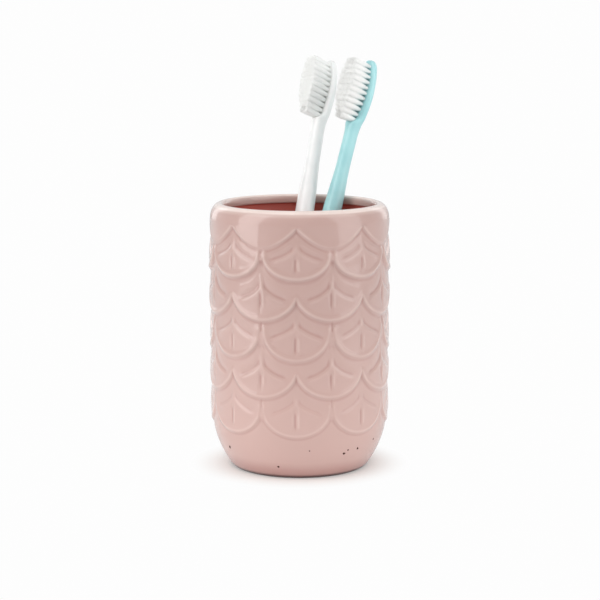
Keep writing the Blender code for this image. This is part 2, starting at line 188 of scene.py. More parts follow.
# lists give one value for each row, the collar first
relief = {
    "turn": -2.0,        # degrees that the pattern is turned on the cup
    "around": 8,
    "tips": [0.0969, 0.08425, 0.0673, 0.0509, 0.03535, 0.0192],
    "halfWidth": [0.01465, 0.01405, 0.0161, 0.01405, 0.0158, 0.0143],
    "collarBend": 1.85,
    "roundHeight": [0.0083, 0.0106, 0.0147, 0.0128, 0.0147, 0.0116],
    "lift": [0.00040, 0.00072, 0.00056, 0.00048, 0.00046, 0.00042],
    "length": [1.0, 0.0152, 0.0200, 0.0195, 0.0200, 0.0195],   # where a scale would sink into the wall
    "puff": 2.4,         # how long a scale stays full before it sinks
    "bead": [0.00014, 0.00038, 0.00034, 0.00031, 0.00027, 0.00019],
    "beadTop": [1.0, 0.0104, 0.0094, 0.0128, 0.0098, 0.0124],   # where a scale's bead runs out
    "beadFade": 0.0024,
    "beadPlace": 0.00075,
    "beadWidth": [0.00170, 0.00118, 0.00112, 0.00115, 0.00108, 0.00090],
    "fill": [0.0, 0.85, 0.0, 0.85, 0.0, 0.85],         # how level the strip between open scales is
    "fillStart": (0.0058, 0.0088),
    "fillEnd": (0.0115, 0.0140),
    "fillRise": 0.00014,
    "fillEdge": (-0.0006, 0.0003),
    "stepOut": [0.0012, 0.0016, 0.0015, 0.0016, 0.0014, 0.0012],
    "stepIn": 0.00045,
    "trenchDepth": [0.00020, 0.00008, 0.00008, 0.00008, 0.00008, 0.00006],
    "trenchPlace": 0.00150,
    "trenchWidth": 0.00080,
    "apex": [0.0, 0.0140, 0.0159, 0.0158, 0.0159, 0.0160],
    "armDrop": [0.0, 0.0076, 0.0080, 0.0086, 0.0082, 0.0084],
    "armRun": [1.0, 0.0076, 0.0054, 0.0090, 0.0054, 0.0085],
    "armDepth": [0.0, 0.00042, 0.00044, 0.00042, 0.00038, 0.00026],
    "armAbove": 0.00145,
    "armBelow": 0.00095,
    "armStart": 0.0002,
    "apexGap": [0.0, 0.0022, 0.0016, 0.0016, 0.0016, 0.0016],   # where the arms are full, from the middle
    "armEnd": (0.0085, 0.0120),
    "tentRise": [0.0, 0.00018, 0.00017, 0.00016, 0.00014, 0.00009],
    "tentPlace": 0.00185,
    "tentWidth": 0.00130,
    "stemDepth": 0.00038,   # a narrow hollow with a low ridge on its right
    "stemRise": 0.00022,
    "stemHalf": 0.00150,
    "stemHollow": (-0.30, 0.42),   # place and width, in halves of the stem
    "stemRidge": (0.70, 0.45),
    "stemSoft": 0.0008,
    "stemLow": [0.0, 0.0033, 0.0050, 0.0032, 0.0046, 0.0043],
    "stemHigh": [0.0, 0.0089, 0.0114, 0.0103, 0.0102, 0.0107],
}

# the mesh's lines follow the relief; pairs are a greatest length and a share of the room
grid = {
    "perHalfScale": 24,
    "columnEase": 0.45,        # how much closer the columns stand at a scale's middle and sides
    "shoulderLines": 15,
    "collarLines": 6,          # in each of the collar's two parts
    "collarGap": 0.0003,
    "collarShare": 0.3,
    "slopeLines": 5,
    "topLines": 3,
    "grooveLines": 9,
    "fieldLines": 5,
    "edgeLines": 7,
    "edgeReach": 0.977,        # how far towards its side a scale's edge is followed
    "border": (0.0026, 0.36),
    "slope": (0.0016, 0.24),
    "overGroove": (0.0009, 0.5),
    "underGroove": (0.0024, 0.6),
    "grooveRange": (0.35, 0.8),
    "bandTop": 0.0138,         # below it the wall is plain
    "bandShare": 0.30,
    "bandLines": (6, 4, 14),
    "footLines": 3,
    "lipLines": 8,
    "wallLines": 24,
    "filletLines": 8,
}


def scaleOffset(angle, row):  # signed arc length from the middle of the nearest scale
    pitch = 2.0 * math.pi / relief["around"]
    shift = math.radians(relief["turn"]) + (0.0 if row % 2 else 0.5 * pitch)
    turn = np.mod(angle - shift + 0.5 * pitch, pitch) - 0.5 * pitch
    return turn * cup["wallRadius"]


def insideDistance(across, up, row):  # how far inside a row's outline
    wide = relief["halfWidth"][row]
    tall = relief["roundHeight"][row]
    if row == 0:   # the collar hangs in shallow scallops
        share = np.abs(across) / wide
        bend = relief["collarBend"]
        lean = bend * tall / wide * share ** (bend - 1.0)
        return (up - tall * share ** bend) / np.sqrt(1.0 + lean ** 2)
    level = np.minimum(up - tall, 0.0)   # a scale is rounded below and straight above
    reach = np.sqrt((across / wide) ** 2 + (level / tall) ** 2) + 1e-9
    slope = np.sqrt((across / wide ** 2) ** 2 + (level / tall ** 2) ** 2) / reach + 1e-9
    return (1.0 - reach) / slope


def armHeight(across, row):  # the inverted V, with arms that flatten outwards
    run = relief["armRun"][row]
    return relief["apex"][row] - relief["armDrop"][row] * (1.0 - np.exp(-np.abs(across) / run))


def armGroove(across, up, row):  # depth of the V, less the low ridge that runs below it
    side = np.abs(across)
    lean = relief["armDrop"][row] / relief["armRun"][row] * np.exp(-side / relief["armRun"][row])
    below = (armHeight(across, row) - up) / np.sqrt(1.0 + lean ** 2)
    width = np.where(below < 0.0, relief["armAbove"], relief["armBelow"])
    arms = bell(below, width) * smoothStep(relief["armStart"], relief["apexGap"][row], side)
    tent = relief["tentRise"][row] * bell(below - relief["tentPlace"], relief["tentWidth"])
    return (relief["armDepth"][row] * arms - tent) * (1.0 - smoothStep(*relief["armEnd"], side))


def stemGroove(across, up, row):
    soft = relief["stemSoft"]
    window = smoothStep(-soft, soft, up - relief["stemLow"][row])
    window = window * smoothStep(-soft, soft, relief["stemHigh"][row] - up)
    place = across / relief["stemHalf"]
    hollowPlace, hollowWidth = relief["stemHollow"]
    ridgePlace, ridgeWidth = relief["stemRidge"]
    hollow = relief["stemDepth"] * bell(place - hollowPlace, hollowWidth)
    return (hollow - relief["stemRise"] * bell(place - ridgePlace, ridgeWidth)) * window


def scaleTop(across, up, inside, row):
    bead = relief["bead"][row] * bell(inside - relief["beadPlace"], relief["beadWidth"][row])
    bead = bead * (1.0 - smoothStep(0.0, relief["beadFade"], up - relief["beadTop"][row]))
    if row == 0:
        return relief["lift"][0] + bead
    field = relief["lift"][row] * (1.0 - np.clip(up / relief["length"][row], 0.0, 1.1) ** relief["puff"])
    return field + bead - armGroove(across, up, row) - stemGroove(across, up, row)


def reliefHeight(angle, height):
    rise = np.zeros_like(height)
    for row in reversed(range(len(relief["tips"]))):   # each row covers the one below it
        across = scaleOffset(angle, row)
        up = height - relief["tips"][row]
        inside = insideDistance(across, up, row)
        trench = relief["trenchDepth"][row] * bell(inside + relief["trenchPlace"], relief["trenchWidth"])
        level = smoothStep(*relief["fillStart"], up) * (1.0 - smoothStep(*relief["fillEnd"], up))
        level = relief["fill"][row] * level
        cover = np.maximum(smoothStep(-relief["stepOut"][row], relief["stepIn"], inside), level)
        strip = relief["fillRise"] * level * (1.0 - smoothStep(*relief["fillEdge"], inside))
        rise = (rise - trench) * (1.0 - cover) + (scaleTop(across, up, inside, row) + strip) * cover
    return rise


def wallRadius(height):
    share = np.clip(1.0 - height / cup["taperHeight"], 0.0, 1.0)
    return cup["wallRadius"] - (cup["wallRadius"] - cup["footRadius"]) * share ** cup["taperPower"]


def edgeLine(angle, row):  # a line that the mesh follows along a row's lower edge
    share = np.abs(scaleOffset(angle, row)) / relief["halfWidth"][row]
    if row == 0:
        rise = np.minimum(share, 1.0) ** relief["collarBend"]
    else:
        rise = 1.0 - np.sqrt(1.0 - np.minimum(share, grid["edgeReach"]) ** 2)
    return relief["tips"][row] + relief["roundHeight"][row] * rise


def columnAngles():
    half = math.pi / relief["around"]
    share = np.arange(grid["perHalfScale"]) / grid["perHalfScale"]
    share = share - grid["columnEase"] * np.sin(2.0 * math.pi * share) / (2.0 * math.pi)
    turned = np.concatenate([(index + share) * half for index in range(2 * relief["around"])])
    return turned + math.radians(relief["turn"])


def spread(start, end, count):  # lines between two given ones, start left out
    return [start + (end - start) * (index + 1) / count for index in range(count)]


def upTo(limit, room):
    longest, share = limit
    return np.minimum(longest, share * room)


def shoulderLines(angle):
    outer = cup["wallRadius"] + relief["lift"][0]
    lines = []
    for index in range(grid["shoulderLines"]):
        turn = 0.5 * math.pi * (1.0 - index / (grid["shoulderLines"] - 1))
        radius = cup["crestRadius"] + (outer - cup["crestRadius"]) * math.cos(turn)
        height = cup["rimHeight"] - cup["shoulderDrop"] * (1.0 - math.sin(turn))
        lines.append((np.full_like(angle, radius), np.full_like(angle, height)))
    return lines


def reliefLines(angle):  # heights of the lines from the shoulder down to the foot
    start = np.full_like(angle, cup["rimHeight"] - cup["shoulderDrop"])
    above = np.minimum(edgeLine(angle, 0), start - grid["collarGap"])
    heights = spread(start, above + grid["collarShare"] * (start - above), grid["collarLines"])
    heights += spread(heights[-1], above, grid["collarLines"])
    for row in range(1, len(relief["tips"])):
        edge = edgeLine(angle, row)
        border = edge + upTo(grid["border"], above - edge)
        slopeEnd = above - upTo(grid["slope"], above - edge)
        lowest, highest = [border + share * (slopeEnd - border) for share in grid["grooveRange"]]
        groove = np.clip(armHeight(scaleOffset(angle, row), row) + relief["tips"][row], lowest, highest)
        over = groove + upTo(grid["overGroove"], slopeEnd - groove)
        under = groove - upTo(grid["underGroove"], groove - border)
        heights += spread(above, slopeEnd, grid["slopeLines"])
        heights += spread(slopeEnd, over, grid["topLines"])
        heights += spread(over, under, grid["grooveLines"])
        heights += spread(under, border, grid["fieldLines"])
        heights += spread(border, edge, grid["edgeLines"])
        above = edge
    bandTop = np.full_like(angle, grid["bandTop"])
    nearScales = above + grid["bandShare"] * (bandTop - above)
    foot = np.full_like(angle, cup["footEdge"])
    ends = (above, nearScales, bandTop, foot)
    for upper, lower, count in zip(ends, ends[1:], grid["bandLines"]):
        heights += spread(upper, lower, count)
    return heights


def outerLines(angle):
    lines = shoulderLines(angle)
    for height in reliefLines(angle):
        lines.append((wallRadius(height) + reliefHeight(angle, height), height))
    foot = wallRadius(np.zeros_like(angle))
    for index in range(grid["footLines"]):
        share = (index + 1) / grid["footLines"]
        turn = 0.5 * math.pi * share
        radius = foot - cup["footEdge"] * (1.0 - math.cos(turn)) + cup["footFlare"] * (1.0 - share)
        lines.append((radius, np.full_like(angle, cup["footEdge"] * (1.0 - math.sin(turn)))))
    return lines


def innerLines(angle):
    run = cup["crestRadius"] - cup["lipRadius"]
    drop = cup["lipRound"] * cup["lipDrop"]
    profile = []
    for index in range(grid["lipLines"]):
        turn = 0.5 * math.pi * (1.0 - (index + 1) / grid["lipLines"])
        height = cup["rimHeight"] - drop * (1.0 - math.sin(turn))
        profile.append((cup["crestRadius"] - run * math.cos(turn), height))
    ledge = cup["rimHeight"] - cup["lipDrop"]
    profile += [(cup["lipRadius"] + out, ledge + up) for out, up in cup["ledge"]]
    profile += [(cup["innerRadius"] + out, ledge + up) for out, up in cup["ledgeFoot"]]
    top = profile[-1][1]
    filletTop = cup["floorHeight"] + cup["floorFillet"]
    for height in spread(top, filletTop, grid["wallLines"]):
        taper = ease(0.0, cup["innerTaper"], 1.0 - (height - filletTop) / cup["taperLength"])
        profile.append((cup["innerRadius"] - taper, height))
    for index in range(grid["filletLines"]):
        turn = 0.5 * math.pi * (index + 1) / grid["filletLines"]
        radius = cup["innerRadius"] - cup["innerTaper"] - cup["floorFillet"] * (1.0 - math.cos(turn))
        profile.append((radius, filletTop - cup["floorFillet"] * math.sin(turn)))
    return [(np.full_like(angle, radius), np.full_like(angle, height)) for radius, height in profile]


# the glaze: darker in hollows, where it pools and as painted shade; paler over ridges and the lip, where
# it thins and as painted highlight

glaze = {
    # crest: thinned glaze with a painted highlight on the lip
    "crest": (0.875, 0.725, 0.670),
    "ridge": (0.648, 0.472, 0.424),
    "body": (0.547, 0.359, 0.320),
    "hollow": (0.440, 0.240, 0.212),
    # the inside below the ledge: painted shade, deep red
    "within": (0.600, 0.138, 0.106),
    "foot": (0.110, 0.034, 0.024),   # the foot where the glaze was wiped off, drawn near black as painted contact shade
    "lowTone": 1.16,        # paler low on the cup than high up, as painted bounce light from the floor
    "highTone": 0.94,
    "toneHeights": (0.010, 0.075),
    "poolDepth": 0.00026,   # how hollow a place is where pooled glaze and painted shade are about as dark as they get
    "poolReach": (0.0007, 0.0014),   # how far off the places lie that a place is compared with
    "poolPlaces": 6,        # at each of these distances
    "crestOutside": (0.0027, 0.0058),   # where the pale crest, thinned glaze with a painted highlight, starts and ends to fade
    "crestInside": (0.0010, 0.0026),
    "crestDrop": 0.6,       # how much height counts beside distance in that
    "footContactShade": (0.0008, 0.0018),
    "nearFloorShade": 0.85,       # darker towards the foot: painted shade near the floor
    "nearFloorShadeHeights": (0.001, 0.010),
    "mottle": 0.16,
    "mottleScale": 48.0,
    "roughness": 0.38,
    "coat": 1.0,
    "coatRoughness": 0.015,
    "ripple": (260.0, 0.05, 0.0003),   # scale, strength and depth
}


# how hollow a place is sets its pooled glaze and painted shade; a ridge gets thinned glaze and painted
# highlight
def glazePoolAndShade(angle, height):  # how hollow the relief is here
    around = np.zeros_like(height)
    places = glaze["poolPlaces"]
    weight = 1.0 / (places * len(glaze["poolReach"]))
    for reach in glaze["poolReach"]:
        for index in range(places):
            turn = 2.0 * math.pi * index / places
            aside = reach * math.cos(turn) / cup["wallRadius"]
            around += weight * reliefHeight(angle + aside, height + reach * math.sin(turn))
    return around - reliefHeight(angle, height)


def makeTumbler(material):
    angle = columnAngles()
    count = len(angle)
    outside = outerLines(angle)
    lines = outside[::-1] + innerLines(angle)   # from the foot up over the lip and down to the floor
    plain = len(outside) - grid["shoulderLines"]   # from this line on there is no relief
    ledge = len(outside) + grid["lipLines"] + 1
    points = []
    poolShadeAndHighlight = []
    within = []
    footContactShade = []
    for index, (radius, height) in enumerate(lines):
        points.append(np.stack([radius * np.cos(angle), radius * np.sin(angle), height], axis=1))
        # below the lip's ledge the inside is drawn as painted shade
        within.append(np.full_like(angle, min(1.0, max(0.0, 0.5 * (index - ledge)))))
        outer = 1.0 if index < len(outside) else 0.0
        # painted contact shade along the foot
        footContactShade.append(outer * (1.0 - smoothStep(*glaze["footContactShade"], height)))
        # the lip's pale crest: thinned glaze and a painted highlight
        fromCrest = np.abs(radius - cup["crestRadius"]) + glaze["crestDrop"] * (cup["rimHeight"] - height)
        pale = 1.0 - smoothStep(*glaze["crestOutside" if outer else "crestInside"], fromCrest)
        hollow = glazePoolAndShade(angle, height) if index < plain else np.zeros_like(angle)
        # darker towards the foot as painted shade near the floor
        low = glaze["nearFloorShade"] * outer * (1.0 - smoothStep(*glaze["nearFloorShadeHeights"], height))
        # hollows darken as pooled glaze and painted shade, ridges and the crest pale as thinned glaze and
        # painted highlight
        poolShadeAndHighlight.append((np.tanh(hollow / glaze["poolDepth"]) + low) * (1.0 - pale) - pale)
    faces = []
    for index in range(len(lines) - 1):
        faces += ringFaces((index + 1) * count, index * count, count)
    last = (len(lines) - 1) * count
    faces.append(tuple(range(count))[::-1])
    faces.append(tuple(range(last, last + count)))
    piece = meshPiece("tumbler", np.concatenate(points).tolist(), faces, material, "tumbler")
    pointValues(piece, "glazePoolAndShade", poolShadeAndHighlight)
    pointValues(piece, "insideShadeMask", within)
    pointValues(piece, "footContactShade", footContactShade)
    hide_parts("tumbler_body")
    print("tumbler:", len(piece.data.polygons), "faces")


def glazeMaterial():
    material, tree, shader = newMaterial("pinkGlaze", glaze["body"], glaze["roughness"])
    links = tree.links
    scaled = addNode(tree, "ShaderNodeMapRange", None, {"From Min": 1.0, "From Max": -1.0})
    links.new(addPointValue(tree, "glazePoolAndShade"), scaled.inputs["Value"])
    place = addNode(tree, "ShaderNodeTexCoord")
    mottle = addNoise(tree, place, {"Scale": glaze["mottleScale"], "Detail": 4.0, "Roughness": 0.55})
    shifted = addNode(tree, "ShaderNodeMath", {"operation": "MULTIPLY_ADD"},
                      {1: glaze["mottle"], 2: -0.5 * glaze["mottle"]})
    links.new(mottle, shifted.inputs[0])
    total = addNode(tree, "ShaderNodeMath", {"operation": "ADD"})
    links.new(scaled.outputs["Result"], total.inputs[0])
    links.new(shifted.outputs["Value"], total.inputs[1])
    # from hollow to crest: pooled glaze with painted shade, the body, thinned glaze with painted highlight
    stops = [(0.05, glaze["hollow"]), (0.42, glaze["body"]), (0.58, glaze["body"]), (0.90, glaze["ridge"]),
             (1.0, glaze["crest"])]
    depth = addRamp(tree, stops, total.outputs["Value"])
    parts = addNode(tree, "ShaderNodeSeparateXYZ")
    links.new(place.outputs["Object"], parts.inputs["Vector"])
    # paler low on the cup: painted bounce light from the floor
    low, high = glaze["toneHeights"]
    tones = {"From Min": low, "From Max": high, "To Min": glaze["lowTone"], "To Max": glaze["highTone"]}
    tone = addNode(tree, "ShaderNodeMapRange", None, tones)
    links.new(parts.outputs["Z"], tone.inputs["Value"])
    toned = addNode(tree, "ShaderNodeVectorMath", {"operation": "SCALE"})
    links.new(depth, toned.inputs[0])
    links.new(tone.outputs["Result"], toned.inputs["Scale"])
    # painted shade inside the cup
    colour = addMix(tree, toned.outputs["Vector"], glaze["within"], addPointValue(tree, "insideShadeMask"))
    # painted contact shade at the foot
    colour = addMix(tree, colour, glaze["foot"], addPointValue(tree, "footContactShade"))
    links.new(colour, shader.inputs["Base Color"])
    shader.inputs["Coat Weight"].default_value = glaze["coat"]
    shader.inputs["Coat Roughness"].default_value = glaze["coatRoughness"]
    scale, strength, deep = glaze["ripple"]
    addBump(tree, shader, addNoise(tree, place, {"Scale": scale, "Detail": 2.0}), strength, deep)
    return material


# a few iron specks burnt through the glaze, low on the cup

specks = {
    # places in the picture, and radius
    "seen": [(230, 447, 0.00068), (278.4, 466.8, 0.00056), (309.5, 451, 0.00034), (344, 453.5, 0.00058),
             (348, 450, 0.00045), (357.5, 448.3, 0.00052), (373.2, 439, 0.00040)],
    "search": (0.72, 0.81, 0.0001),   # distances along the camera's ray, and their step
    "more": 26,
    "frontGap": 1.35,       # the front keeps the specks of the picture; half its angle
    "low": 0.004,
    "high": 0.017,
    "radius": (0.00026, 0.00042),
    "longest": 1.5,         # a speck's length over its width
    "uneven": 0.15,
    "corners": 12,
    "rings": [(1.0, -0.00004), (0.75, 0.00003)],   # share of the radius, height over the wall
    "top": 0.00005,
    "bottom": -0.00006,
    "colour": (0.045, 0.014, 0.011),
    "thinColour": (0.11, 0.035, 0.026),
}


def speckPlace(across, down, radius):  # where the ray through a point of the picture meets the lower wall
    tilt = math.radians(view["lookDown"])
    focal = view["lens"] / view["sensor"] * view["pixels"]
    middle = 0.5 * view["pixels"]
    right, up = (across - middle) / focal, (middle - down) / focal
    forward, rise = math.cos(tilt) + up * math.sin(tilt), up * math.cos(tilt) - math.sin(tilt)
    for reach in np.arange(*specks["search"]):
        x = view["aside"] + right * reach
        y = forward * reach - view["distance"]
        z = view["height"] + rise * reach
        if z > 0.0 and math.hypot(x, y) <= wallRadius(z):
            return math.atan2(y, x), z, radius


def makeSpecks(material):
    random = np.random.default_rng(12)
    corners = specks["corners"]
    near = 0.0005   # the wall's slope is taken over this much to either side
    spots = [speckPlace(*spot) for spot in specks["seen"]]
    while len(spots) < len(specks["seen"]) + specks["more"]:
        turn = random.uniform(-math.pi, math.pi)
        if abs(turn + 0.5 * math.pi) > specks["frontGap"]:
            height = random.uniform(specks["low"], specks["high"])
            spots.append((turn, height, random.uniform(*specks["radius"])))
    points = []
    faces = []
    for turn, height, wide in spots:
        radius = wallRadius(height)
        slope = (wallRadius(height + near) - wallRadius(height - near)) / (2.0 * near)
        out = Vector((math.cos(turn), math.sin(turn), -slope)).normalized()
        side = Vector((-math.sin(turn), math.cos(turn), 0.0))
        rise = out.cross(side)
        centre = Vector((radius * math.cos(turn), radius * math.sin(turn), height))
        tall = wide * random.uniform(1.0, specks["longest"])
        lean = random.uniform(0.0, math.pi)
        first = side * math.cos(lean) + rise * math.sin(lean)
        second = side * -math.sin(lean) + rise * math.cos(lean)
        base = len(points)
        for share, lift in specks["rings"]:
            for corner in range(corners):
                angle = 2.0 * math.pi * corner / corners
                reach = share * (1.0 + specks["uneven"] * math.sin(3.0 * angle + lean))
                along = first * (tall * reach * math.cos(angle))
                aside = second * (wide * reach * math.sin(angle))
                points.append(centre + along + aside + out * lift)
        points.append(centre + out * specks["top"])
        points.append(centre + out * specks["bottom"])
        upper = base + corners
        faces += ringFaces(upper, base, corners)
        for start, tip in ((upper, upper + corners), (base, upper + corners + 1)):
            faces += [(start + corner, start + (corner + 1) % corners, tip) for corner in range(corners)]
    meshPiece("glazeSpecks", points, faces, material, "tumbler")
    print("specks:", len(spots))


def speckMaterial():
    material, tree, shader = newMaterial("ironSpeck", specks["colour"], 0.6)
    shader.inputs["Specular IOR Level"].default_value = 0.2
    cloud = addNoise(tree, addNode(tree, "ShaderNodeTexCoord"), {"Scale": 3000.0})
    stops = [(0.35, specks["colour"]), (0.70, specks["thinColour"])]
    tree.links.new(addRamp(tree, stops, cloud), shader.inputs["Base Color"])
    return material


# the toothbrushes

brush = {
    "buttRadius": 0.0045,
    "grip": (0.055, 0.0056, 0.0044),        # distance from the butt, half width, half depth
    "lean": (0.0703, 0.0041, 0.0039),       # the same from the nose; here it leans on the lip
    "neck": (0.046, 0.0029, 0.0030),        # the same from the nose
    "headHalf": 0.0058,
    "headWidest": 0.0160,                   # from the nose, as the next two
    "headFoot": 0.0345,
    "faceLength": 0.0300,
    "faceInset": 0.0006,
    "faceBlend": 0.0034,
    "headDepth": 0.0018,
    "backOfHead": 0.0031,
    "nosePower": 0.45,                      # how blunt the head's outline is
    "noseLength": 0.0035,
    "noseDepth": 0.30,                      # share of the head's depth at the nose's end
    "gripPower": 0.95,                      # 1 is an ellipse, less is squarer
    "neckPower": 0.93,
    "headPower": 0.60,
    "powerBlend": (0.004, 0.008),           # where it starts below the face, and its length
    "sides": 40,
    "buttLines": 10,
    "bodyLines": 64,
    "headLines": 58,
    "noseLines": 14,
    "fineHead": 0.036,                      # closer lines from here to the nose
    "fineNose": 0.004,
}

brushes = {
    "white": {
        "length": 0.1803,
        "start": (-0.014159, -0.02192, 0.008787),   # the butt's end
        "axis": (0.150841, 0.426756, 0.891699),
        "face": 222.0,                              # degrees from +x that the bristles face
        "colour": (0.875, 0.885, 0.875),
        "shade": (0.820, 0.835, 0.830),
        "gapShadeTint": (0.86, 0.86, 0.83),
        "bristleTone": 1.0,
    },
    "aqua": {
        "length": 0.1708,
        "start": (-0.010773, 0.000056, 0.008536),
        "axis": (0.241075, 0.209451, 0.947635),
        "face": 221.0,
        "colour": (0.415, 0.745, 0.765),
        "shade": (0.350, 0.680, 0.710),
        "gapShadeTint": (0.24, 0.48, 0.50),
        "bristleTone": 0.965,
    },
}

plastic = {
    "roughness": 0.28,
    "cloud": 90.0,
    "coat": 0.6,
    "coatRoughness": 0.12,
    "through": 0.25,                        # light that passes into the plastic, and how far
    "throughReach": (0.0020, 0.0022, 0.0022),
    "grain": (900.0, 0.08, 0.0001),         # scale, strength and depth
}


def brushPlace(kind):  # x across the head, y to its back, z from the butt to the nose
    axis = Vector(kind["axis"]).normalized()
    face = math.radians(kind["face"])
    front = Vector((math.cos(face), math.sin(face), 0.0))
    behind = -(front - axis * front.dot(axis)).normalized()
    place = Matrix((behind.cross(axis), behind, axis)).transposed().to_4x4()
    place.translation = Vector(kind["start"])
    return place


def headHalf(fromNose):  # oval head that runs down into the neck
    half = brush["headHalf"]
    widest = brush["headWidest"]
    if fromNose < widest:
        return half * max(0.0, 1.0 - ((widest - fromNose) / widest) ** 2) ** brush["nosePower"]
    return ease(half, brush["neck"][1], (fromNose - widest) / (brush["headFoot"] - widest))


def roundOver(share):  # quarter circle from 0 to 1
    return math.sqrt(max(0.0, 1.0 - (1.0 - share) ** 2))


def handleSection(along, length):  # half width, half depth, middle line, power
    fromNose = length - along
    butt = brush["buttRadius"]
    gripAt, gripWide, gripDeep = brush["grip"]
    leanBelow, leanWide, leanDeep = brush["lean"]
    neckBelow, neckWide, neckDeep = brush["neck"]
    if along < butt:
        half = butt * roundOver(along / butt)
        return half, half, 0.0, 1.0
    if along < gripAt:
        share = (along - butt) / (gripAt - butt)
        return ease(butt, gripWide, share), ease(butt, gripDeep, share), 0.0, brush["gripPower"]
    if fromNose > leanBelow:
        share = (along - gripAt) / (length - leanBelow - gripAt)
        return ease(gripWide, leanWide, share), ease(gripDeep, leanDeep, share), 0.0, brush["neckPower"]
    if fromNose > neckBelow:
        share = (leanBelow - fromNose) / (leanBelow - neckBelow)
        return ease(leanWide, neckWide, share), ease(leanDeep, neckDeep, share), 0.0, brush["neckPower"]
    flat = ease(0.0, 1.0, (brush["faceLength"] - brush["faceInset"] - fromNose) / brush["faceBlend"])
    deep = neckDeep + (brush["headDepth"] - neckDeep) * flat
    nose = roundOver(min(1.0, fromNose / brush["noseLength"]))
    deep *= brush["noseDepth"] + (1.0 - brush["noseDepth"]) * nose
    middle = (brush["backOfHead"] - brush["headDepth"]) * flat
    below, run = brush["powerBlend"]
    power = ease(brush["neckPower"], brush["headPower"], (brush["faceLength"] + below - fromNose) / run)
    return headHalf(fromNose), deep, middle, power


def handleStations(length):
    headAt = length - brush["fineHead"]
    buttTurns = spread(0.0, 0.5 * math.pi, brush["buttLines"])
    noseTurns = spread(0.0, 0.5 * math.pi, brush["noseLines"])[:-1]   # the nose's end is one point
    stations = [brush["buttRadius"] * (1.0 - math.cos(turn)) for turn in buttTurns]
    stations += spread(stations[-1], headAt, brush["bodyLines"])
    stations += spread(headAt, length - brush["fineNose"], brush["headLines"])
    return stations + [length - brush["fineNose"] * math.cos(turn) for turn in noseTurns]


def makeHandle(name, kind, material):
    length = kind["length"]
    count = brush["sides"]
    place = brushPlace(kind)
    points = [place @ Vector((0.0, 0.0, 0.0))]
    faces = []
    for along in handleStations(length):
        wide, deep, middle, power = handleSection(along, length)
        for index in range(count):
            turn = 2.0 * math.pi * index / count
            across = math.copysign(abs(math.cos(turn)) ** power, math.cos(turn))
            behind = math.copysign(abs(math.sin(turn)) ** power, math.sin(turn))
            points.append(place @ Vector((wide * across, middle + deep * behind, along)))
    rings = (len(points) - 1) // count
    faces += [(0, 1 + (index + 1) % count, 1 + index) for index in range(count)]
    for ring in range(rings - 1):
        faces += ringFaces(1 + (ring + 1) * count, 1 + ring * count, count)
    points.append(place @ Vector((0.0, brush["backOfHead"] - brush["headDepth"], length)))
    last = 1 + (rings - 1) * count
    faces += [(last + index, last + (index + 1) % count, len(points) - 1) for index in range(count)]
    piece = meshPiece(name + "Handle", points, faces, material, name + "_brush")
    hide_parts(name + "_brush_handle")
    print(name, "handle:", len(piece.data.polygons), "faces")


def plasticMaterial(name, kind):
    material, tree, shader = newMaterial(name, kind["colour"], plastic["roughness"])
    place = addNode(tree, "ShaderNodeTexCoord")
    cloud = addNoise(tree, place, {"Scale": plastic["cloud"], "Detail": 3.0})
    colour = addRamp(tree, [(0.30, kind["shade"]), (0.55, kind["colour"])], cloud)
    tree.links.new(colour, shader.inputs["Base Color"])
    shader.inputs["Coat Weight"].default_value = plastic["coat"]
    shader.inputs["Coat Roughness"].default_value = plastic["coatRoughness"]
    shader.inputs["Subsurface Weight"].default_value = plastic["through"]
    shader.inputs["Subsurface Radius"].default_value = plastic["throughReach"]
    shader.inputs["Subsurface Scale"].default_value = 1.0
    scale, strength, deep = plastic["grain"]
    addBump(tree, shader, addNoise(tree, place, {"Scale": scale, "Detail": 2.0}), strength, deep)
    return material


# the bristles: round tufts of fine filaments; shares are of the bristles' length

bristles = {
    "pitch": 0.00240,
    "firstFromNose": 0.00345,
    "rowTufts": [3, 3, 4, 4, 4, 4, 4, 3, 3, 2, 2],       # from the nose down
    "rowSpread": [0.0017, 0.0023, 0.0030, 0.0032, 0.0032, 0.0032, 0.0030, 0.0025, 0.0020, 0.0013, 0.0009],
    "rowLength": [0.965, 0.985, 0.995, 1.0, 1.0, 1.0, 1.0, 0.995, 0.985, 0.96, 0.91],
    "rootRadius": 0.00082,
    "tipRadius": 0.00128,
    "closeUp": 0.48,         # tufts stand apart at the root and meet here
    "length": 0.0102,
    "sink": 0.0006,
    "coreShares": (0.14, 0.28, 0.42, 0.58, 0.75, 0.93),
    "coreEnd": 0.965,
    "coreSides": 14,
    "ribs": 22,              # filaments that show round a tuft
    "ribShares": (0.0, 0.15, 0.30, 0.58),
    "ribLean": 0.07,
    "ribSink": 0.2,          # share of a filament's radius that lies in the tuft
    "ends": 34,              # filament ends that show on its trimmed face
    "endShare": 0.93,
    "endInset": 0.0001,
    "goldenTurn": 2.39996,   # spreads the ends evenly
    "strandRadius": 0.000105,
    "strandSides": 4,
    "uneven": 0.00018,
    "colour": (0.965, 0.97, 0.955),
    "rootShadeColour": (0.93, 0.945, 0.93),
    "roughness": 0.45,
    "gapShare": 0.55,        # how far up a tuft the shade between neighbours reaches
    "gapPower": 1.5,         # how narrow that shade is
}


def tuftPlaces():  # across, distance from the nose and share of the length of each tuft
    places = []
    rows = zip(bristles["rowTufts"], bristles["rowSpread"], bristles["rowLength"])
    for row, (count, wide, tall) in enumerate(rows):
        for column in range(count):
            share = 2.0 * column / (count - 1) - 1.0
            places.append((share * wide, bristles["firstFromNose"] + row * bristles["pitch"], tall))
    return places


def tuftRadius(share):
    return ease(bristles["rootRadius"], bristles["tipRadius"], share / bristles["closeUp"])


